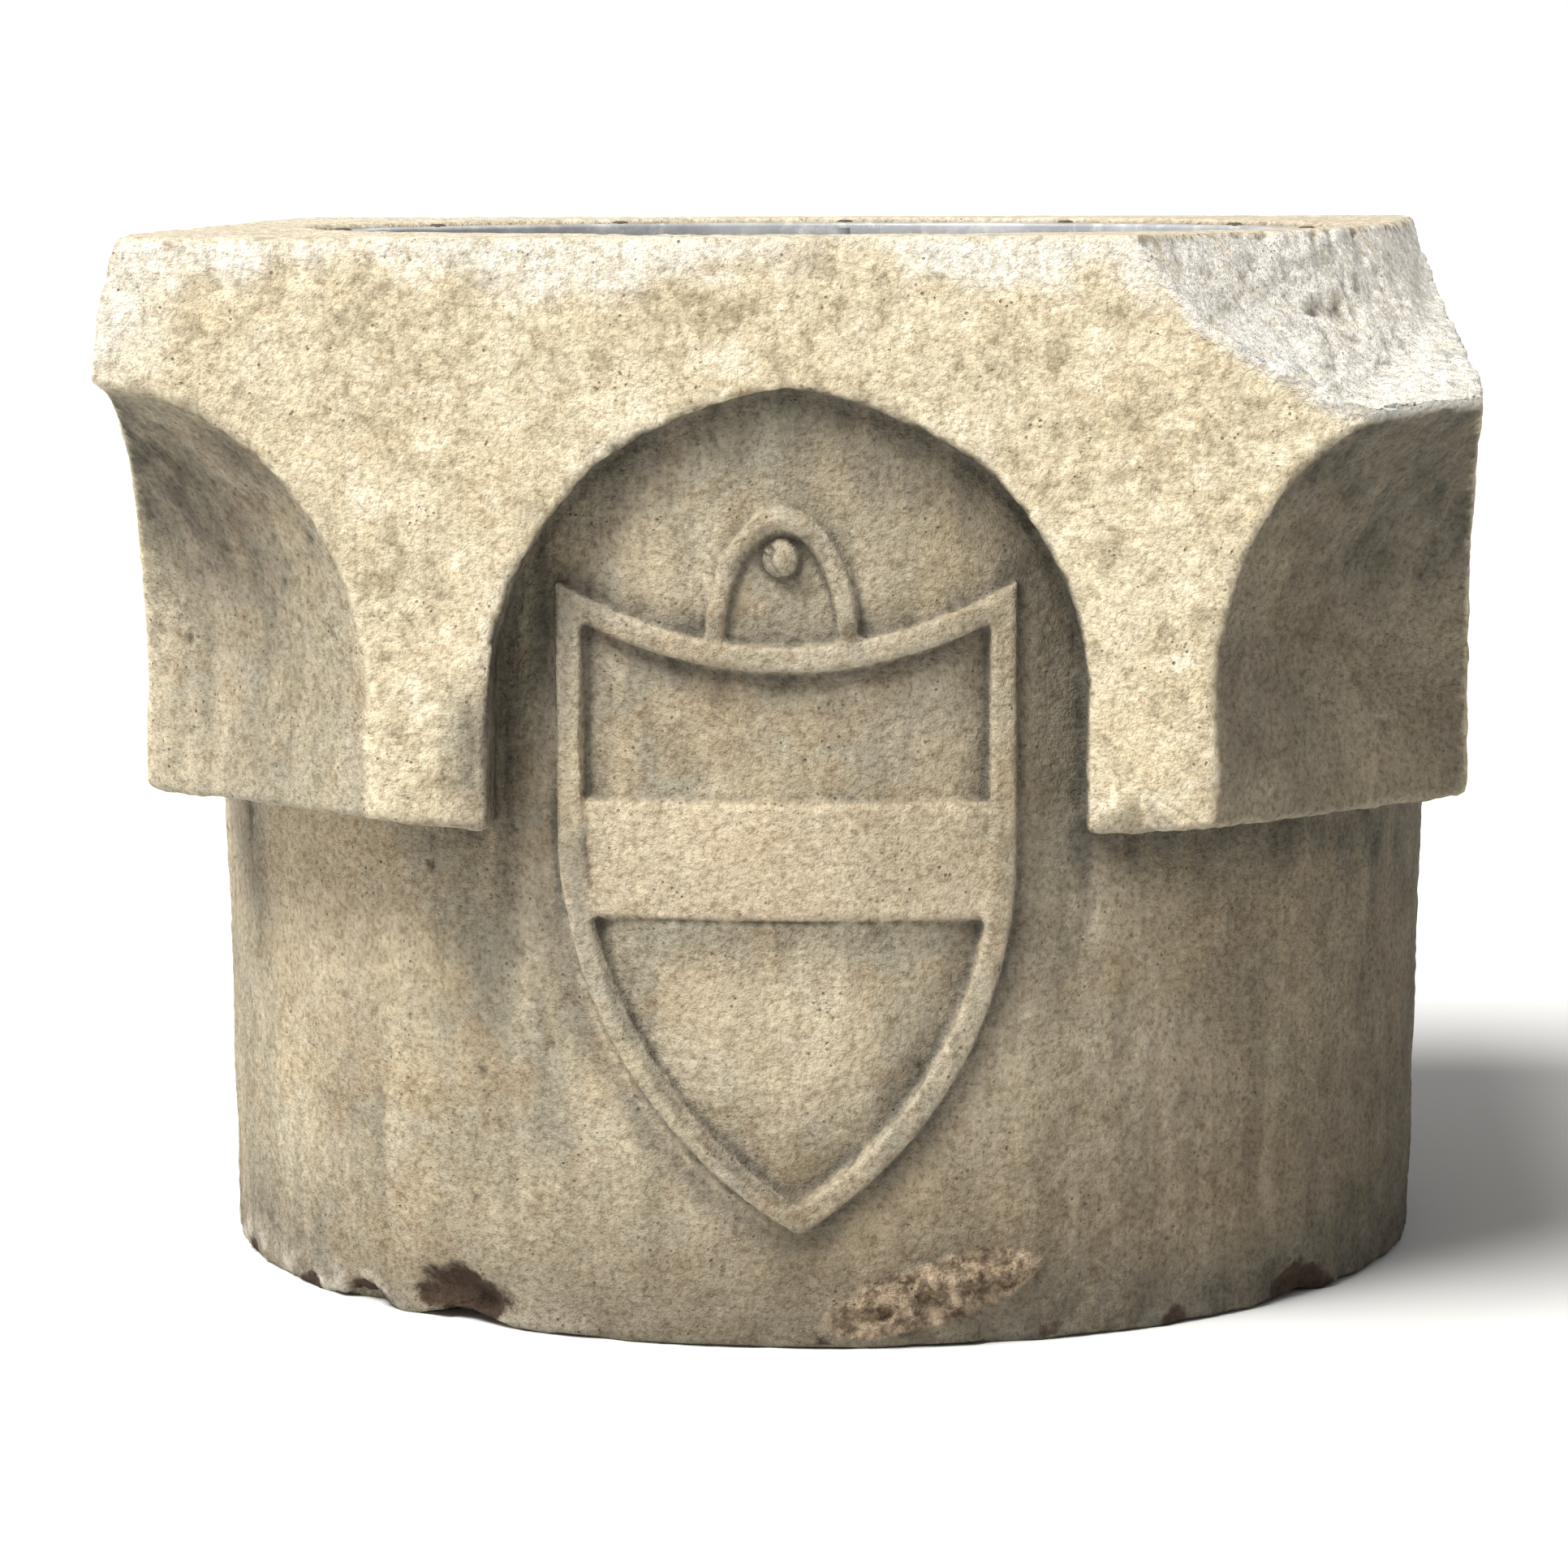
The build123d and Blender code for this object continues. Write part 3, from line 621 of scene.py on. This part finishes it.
# ---------------------------------------------------------------- materials
class Nodes:
    """Builds one material's node tree. Positions are the piece's own, in metres."""

    def __init__(self, name):
        self.material = bpy.data.materials.new(name)
        self.material.use_nodes = True
        self.tree = self.material.node_tree
        self.shader = self.tree.nodes["Principled BSDF"]
        self.place = self.tree.nodes.new("ShaderNodeTexCoord").outputs["Object"]

    def put(self, socket, value):
        if isinstance(value, bpy.types.NodeSocket):
            self.tree.links.new(value, socket)
        elif isinstance(value, tuple) and len(value) == 3 and socket.type == "RGBA":
            socket.default_value = (*value, 1)
        else:
            socket.default_value = value

    def node(self, kind, inputs, out=0, **settings):
        new = self.tree.nodes.new("ShaderNode" + kind)
        for name, value in settings.items():
            setattr(new, name, value)
        for name, value in inputs.items():
            self.put(new.inputs[name], value)
        return new.outputs[out]

    def math(self, operation, a, b=0.0, clamp=False):
        return self.node("Math", {0: a, 1: b}, operation=operation, use_clamp=clamp)

    def times(self, a, b):
        return self.math("MULTIPLY", a, b)

    def plus(self, a, b, clamp=False):
        return self.math("ADD", a, b, clamp)

    def attribute(self, name):
        return self.node("Attribute", {}, "Fac", attribute_name=name)

    def stretched(self, scale, shift=(0.0, 0.0, 0.0)):
        return self.node("Mapping", {"Vector": self.place, "Scale": scale, "Location": shift})

    def noise(self, size, detail=3.0, rough=0.55, at=None):
        inputs = {"Vector": at or self.place, "Scale": 1 / size, "Detail": detail, "Roughness": rough}
        return self.node("TexNoise", inputs, "Fac")

    def cells(self, size, at=None):
        inputs = {"Vector": at or self.place, "Scale": 1 / size}
        return self.node("TexVoronoi", inputs, "Distance")

    def between(self, value, low, high, to=(0.0, 1.0)):
        inputs = {"Value": value, "From Min": low, "From Max": high, "To Min": to[0], "To Max": to[1]}
        return self.node("MapRange", inputs, interpolation_type="SMOOTHSTEP")

    def mix(self, share, a, b, blend="MIX"):
        new = self.tree.nodes.new("ShaderNodeMix")
        new.data_type = "RGBA"
        new.blend_type = blend
        self.put(new.inputs[0], share)
        self.put(new.inputs[6], a)
        self.put(new.inputs[7], b)
        return new.outputs[2]

    def bump(self, height, depth, normal=None):
        inputs = {"Height": height, "Distance": depth, "Strength": 1.0}
        if normal:
            inputs["Normal"] = normal
        return self.node("Bump", inputs)

    def finish(self, colour, roughness, normal=None, **fixed):
        self.put(self.shader.inputs["Base Color"], colour)
        self.put(self.shader.inputs["Roughness"], roughness)
        if normal:
            self.put(self.shader.inputs["Normal"], normal)
        for name, value in fixed.items():
            self.shader.inputs[name.replace("_", " ")].default_value = value
        return self.material


def stone_material():
    n = Nodes("weathered_limestone")
    cloud = n.noise(0.09, 5, 0.6)
    blotch = n.noise(0.022, 5, 0.62)
    grain = n.noise(0.0034, 3, 0.7)
    sand = n.noise(0.0011, 2, 0.6)
    pores = n.cells(0.0048)
    streak = n.noise(0.012, 4, 0.6, n.stretched((1, 1, 0.11)))
    wide_streak = n.noise(0.035, 3, 0.6, n.stretched((1, 1, 0.16), (3, 7, 1)))

    # clean faces: warm cream, yellower in clouds, with grey-brown flecks
    clean = n.mix(n.between(cloud, 0.35, 0.68), (0.685, 0.605, 0.44), (0.64, 0.54, 0.365))
    clean = n.mix(n.between(blotch, 0.5, 0.70, (0, 0.8)), clean, (0.47, 0.405, 0.28))
    clean = n.mix(n.between(blotch, 0.48, 0.30, (0, 0.6)), clean, (0.80, 0.74, 0.60))
    # bleaching and painted light towards the top edge and at the front left corner
    clean = n.mix(n.times(n.attribute("bleached_and_lit"), 0.8), clean, (0.86, 0.83, 0.75))
    # sheltered stone: grey-brown with vertical runs
    dull = n.mix(n.between(wide_streak, 0.36, 0.64), (0.28, 0.255, 0.19), (0.47, 0.41, 0.305))
    dull = n.mix(n.between(streak, 0.48, 0.72, (0, 0.45)), dull, (0.24, 0.225, 0.18))
    dull = n.mix(n.between(cloud, 0.50, 0.68, (0, 0.6)), dull, (0.50, 0.40, 0.26))
    dull = n.mix(n.between(n.noise(0.055, 4, 0.65), 0.52, 0.66, (0, 0.55)), dull, (0.33, 0.245, 0.155))
    dull = n.mix(n.between(blotch, 0.5, 0.32, (0, 0.5)), dull, (0.25, 0.24, 0.20))
    # painted light: rubbed shield stone and the top of the drum's left side are lightened
    dull = n.mix(n.times(n.attribute("rubbed_and_lit"), 0.65), dull, (0.60, 0.50, 0.36))
    colour = n.mix(n.attribute("sheltered"), clean, dull)
    # damp, and painted shade on the right side
    damp_and_shade_tone = n.mix(n.between(streak, 0.35, 0.7), (0.165, 0.13, 0.085), (0.27, 0.22, 0.15))
    colour = n.mix(n.times(n.attribute("damp_and_shade"), 0.85), colour, damp_and_shade_tone)
    # worn edges are lightened as wear and as painted highlight, dents are darkened as dirt and as painted
    # shade
    colour = n.mix(n.times(n.attribute("edge"), 0.3), colour, (0.56, 0.51, 0.41))
    colour = n.mix(n.times(n.attribute("dent_grime_and_shade"), 0.3), colour, (0.20, 0.17, 0.12))
    # grime and painted shade
    dark = n.mix(n.between(blotch, 0.35, 0.65), (0.085, 0.078, 0.06), (0.16, 0.145, 0.115))
    hold = n.times(n.attribute("grime_and_shade"), n.between(streak, 0.3, 0.6, (0.6, 1.0)))
    colour = n.mix(hold, colour, dark)
    # fresh break: white with blue-grey pockets
    fresh = n.mix(n.between(n.noise(0.03, 5, 0.7), 0.54, 0.70), (0.96, 0.935, 0.87), (0.66, 0.67, 0.65))
    fresh = n.mix(n.between(n.noise(0.008, 4, 0.7), 0.56, 0.7, (0, 0.6)), fresh, (0.50, 0.48, 0.44))
    fresh = n.mix(n.between(n.noise(0.02, 4, 0.6), 0.46, 0.34, (0, 0.5)), fresh, (0.80, 0.70, 0.52))
    colour = n.mix(n.attribute("broken"), colour, fresh)
    # crust, stains, lime
    flake = n.mix(n.between(n.noise(0.008, 5, 0.7), 0.42, 0.6), (0.37, 0.29, 0.20), (0.15, 0.11, 0.075))
    crusted = n.plus(n.attribute("crust"), n.times(blotch, 0.6))
    colour = n.mix(n.between(crusted, 0.55, 0.8), colour, flake)
    colour = n.mix(n.times(n.attribute("lime"), 0.75), colour, (0.66, 0.62, 0.54))
    spot = n.plus(n.attribute("stain"), n.times(n.math("SUBTRACT", blotch, 0.5), 1.6))
    colour = n.mix(n.between(spot, 0.35, 0.75), colour, (0.055, 0.036, 0.024))
    # grain over everything
    mottle = n.noise(0.011, 4, 0.65)
    smudge = n.noise(0.034, 4, 0.6)
    for spots, low, high, share, tint in (
        (smudge, 0.5, 0.66, 0.5, (0.80, 0.77, 0.72)),
        (mottle, 0.5, 0.66, 0.45, (0.66, 0.61, 0.56)),
        (mottle, 0.48, 0.34, 0.6, (1.22, 1.21, 1.18)),
    ):
        tinted = n.mix(1.0, colour, tint, "MULTIPLY")
        colour = n.mix(n.between(spots, low, high, (0, share)), colour, tinted)
    darker = n.mix(1.0, colour, (0.70, 0.66, 0.60), "MULTIPLY")
    lighter = n.mix(1.0, colour, (1.22, 1.21, 1.18), "MULTIPLY")
    colour = n.mix(n.between(grain, 0.48, 0.66), colour, darker)
    colour = n.mix(n.between(grain, 0.47, 0.32), colour, lighter)
    pin = n.between(pores, 0.20, 0.08)
    pin = n.times(pin, n.between(n.noise(0.02, 2), 0.5, 0.62))
    colour = n.mix(n.times(pin, 0.7), colour, (0.13, 0.105, 0.075))

    rough = n.between(grain, 0.2, 0.8, (0.86, 0.98))
    broken_depth = n.times(n.attribute("broken"), n.noise(0.006, 5, 0.75))
    height = n.plus(n.noise(0.0055, 4, 0.6), n.times(broken_depth, 2.0))
    normal = n.bump(height, 2.6 * MM)
    normal = n.bump(n.plus(n.times(grain, -1.0), n.times(sand, 0.5)), 1.3 * MM, normal)
    normal = n.bump(n.times(pin, -1.0), 0.9 * MM, normal)
    return n.finish(colour, rough, normal, Specular_IOR_Level=0.25)


def lead_material(name, light, dark, oxide):
    n = Nodes(name)
    cloud = n.noise(0.06, 5, 0.6)
    spots = n.noise(0.012, 4, 0.65)
    run_marks = n.noise(0.02, 4, 0.6, n.stretched((1, 1, 0.15)))
    colour = n.mix(n.between(cloud, 0.35, 0.65), dark, light)
    colour = n.mix(n.between(run_marks, 0.5, 0.72, (0, 0.55)), colour, (0.33, 0.34, 0.34))
    colour = n.mix(n.times(n.between(spots, 0.5, 0.68), oxide), colour, (0.62, 0.62, 0.60))
    height = n.node("SeparateXYZ", {"Vector": n.place}, "Z")
    line = n.plus(height, n.times(n.math("SUBTRACT", cloud, 0.5), 0.02))
    tide = n.times(n.between(line, 0.428, 0.440), n.between(line, 0.452, 0.442))
    colour = n.mix(n.times(tide, 0.45), colour, (0.60, 0.59, 0.56))
    colour = n.mix(n.between(line, 0.44, 0.32, (0, 0.35)), colour, (0.17, 0.18, 0.17))
    rough = n.between(spots, 0.3, 0.7, (0.46, 0.68))
    scratches = n.noise(0.0018, 3, 0.6, n.stretched((1, 1, 0.25)))
    normal = n.bump(n.noise(0.018, 4, 0.55), 0.8 * MM)
    normal = n.bump(scratches, 0.12 * MM, normal)
    return n.finish(colour, rough, normal, Metallic=0.2)


def metal_material(name, bright, worn, patina, share, size=0.02):
    """Brass or copper: bright where it is rubbed, dull elsewhere, green or black in patches."""
    n = Nodes(name)
    cloud = n.noise(size, 5, 0.6)
    fine = n.noise(size / 6, 4, 0.7)
    colour = n.mix(n.between(cloud, 0.38, 0.62), bright, worn)
    colour = n.mix(n.between(fine, 0.6 - 0.2 * share, 0.78 - 0.2 * share, (0, 0.75)), colour, patina)
    rough = n.between(cloud, 0.35, 0.65, (0.30, 0.52))
    normal = n.bump(fine, 0.15 * MM)
    normal = n.bump(n.noise(size / 25, 2, 0.5), 0.05 * MM, normal)
    return n.finish(colour, rough, normal, Metallic=0.9)


def mortar_material():
    n = Nodes("lime_mortar")
    grit = n.noise(0.003, 4, 0.7)
    colour = n.mix(n.between(grit, 0.4, 0.6), (0.66, 0.62, 0.54), (0.46, 0.42, 0.35))
    return n.finish(colour, n.between(grit, 0.3, 0.7, (0.85, 0.97)), n.bump(grit, 1.2 * MM))


def leather_material():
    n = Nodes("greased_leather")
    pebble = n.cells(0.0016)
    cloud = n.noise(0.01, 4, 0.6)
    colour = n.mix(n.between(cloud, 0.4, 0.6), (0.15, 0.085, 0.045), (0.08, 0.045, 0.025))
    return n.finish(colour, n.between(cloud, 0.3, 0.7, (0.5, 0.7)), n.bump(pebble, 0.25 * MM))


# ---------------------------------------------------------------- camera, floor and light
CAMERA_AT = (0.152, -2.925, 0.630)
YAW, PITCH, ROLL = -0.0598, -0.1267, -0.0028
LENS_MM = 115.2
FLOOR_REACH = 60
FILL, BACKDROP = 0.36, 1.0
KEY_TOWARD, KEY_STRENGTH, KEY_SOFTNESS = (-0.36, -0.42, 0.83), 5.1, 0.55
KEY_COLOUR = (1.0, 0.985, 0.96)


def make_camera():
    """A long lens a little right of centre, just above the rim and tipped down."""
    ahead = Vector((math.sin(YAW) * math.cos(PITCH), math.cos(YAW) * math.cos(PITCH), math.sin(PITCH)))
    right = Vector((math.cos(YAW), -math.sin(YAW), 0))
    up = right.cross(ahead)
    rolled_right = right * math.cos(ROLL) + up * math.sin(ROLL)
    rolled_up = up * math.cos(ROLL) - right * math.sin(ROLL)
    data = bpy.data.cameras.new("camera")
    data.lens = LENS_MM
    data.sensor_width = 36
    camera = bpy.data.objects.new("camera", data)
    bpy.context.scene.collection.objects.link(camera)
    turn = Matrix((rolled_right, rolled_up, -ahead)).transposed().to_4x4()
    camera.matrix_world = Matrix.Translation(Vector(CAMERA_AT)) @ turn
    bpy.context.scene.camera = camera


def make_floor(reach):
    """A plain pale floor that the font stands on."""
    mesh = bpy.data.meshes.new("floor")
    corners = [(-reach, -reach, 0), (reach, -reach, 0), (reach, reach, 0), (-reach, reach, 0)]
    mesh.from_pydata(corners, [], [(0, 1, 2, 3)])
    floor = bpy.data.objects.new("floor", mesh)
    bpy.context.scene.collection.objects.link(floor)
    n = Nodes("pale_floor")
    tone = n.mix(n.between(n.noise(0.8, 2), 0.3, 0.7), (0.73, 0.73, 0.72), (0.71, 0.71, 0.70))
    floor.data.materials.append(n.finish(tone, 0.9))


def make_key(toward, strength, softness, colour):
    """Even soft light from one direction: toward points from the font to it."""
    data = bpy.data.lights.new("key", "SUN")
    data.energy = strength
    data.angle = softness
    data.color = colour
    light = bpy.data.objects.new("key", data)
    light.rotation_euler = Vector(toward).to_track_quat("Z", "Y").to_euler()
    bpy.context.scene.collection.objects.link(light)


def make_sky(strength, backdrop):
    """A plain white room: dim as a light, and pale as a backdrop."""
    world = bpy.data.worlds.new("studio")
    world.use_nodes = True
    tree = world.node_tree
    fill = tree.nodes["Background"]
    fill.inputs["Color"].default_value = (1.0, 0.99, 0.98, 1)
    fill.inputs["Strength"].default_value = strength
    pale = tree.nodes.new("ShaderNodeBackground")
    pale.inputs["Color"].default_value = (1, 1, 1, 1)
    pale.inputs["Strength"].default_value = backdrop
    seen = tree.nodes.new("ShaderNodeLightPath").outputs["Is Camera Ray"]
    both = tree.nodes.new("ShaderNodeMixShader")
    tree.links.new(seen, both.inputs[0])
    tree.links.new(fill.outputs[0], both.inputs[1])
    tree.links.new(pale.outputs[0], both.inputs[2])
    tree.links.new(both.outputs[0], tree.nodes["World Output"].inputs["Surface"])
    bpy.context.scene.world = world


def dress(thing, material):
    """Give a piece its one material."""
    thing.data.materials.clear()
    thing.data.materials.append(material)


make_camera()
make_floor(FLOOR_REACH)
make_sky(FILL, BACKDROP)
make_key(KEY_TOWARD, KEY_STRENGTH, KEY_SOFTNESS, KEY_COLOUR)
bpy.context.scene.view_settings.view_transform = "Standard"

stone = make_stone(VOXEL)
lead_wall, lead_floor = make_lead()

lead = lead_material("oxidised_lead", (0.52, 0.53, 0.54), (0.36, 0.37, 0.38), 0.8)
materials = {
    "stone": stone_material(),
    "mortar": mortar_material(),
    "lead": lead,
    "lead_bead": lead_material("lead_weld", (0.42, 0.43, 0.44), (0.30, 0.31, 0.32), 0.3),
    "solder": lead_material("wiped_solder", (0.50, 0.50, 0.49), (0.36, 0.36, 0.36), 0.25),
    "copper": metal_material(
        "copper_nail", (0.34, 0.22, 0.15), (0.20, 0.15, 0.11), (0.24, 0.30, 0.25), 0.8, 0.006
    ),
    "brass": metal_material("old_brass", (0.62, 0.46, 0.19), (0.38, 0.27, 0.11), (0.14, 0.12, 0.07), 0.3),
    "leather": leather_material(),
}
dress(stone, materials["stone"])
dress(lead_wall, lead)
dress(lead_floor, lead)
for part in frame["record"]["subparts"]:
    dress(frame["nodes"][part["node"]], materials[part["material_slot"]])
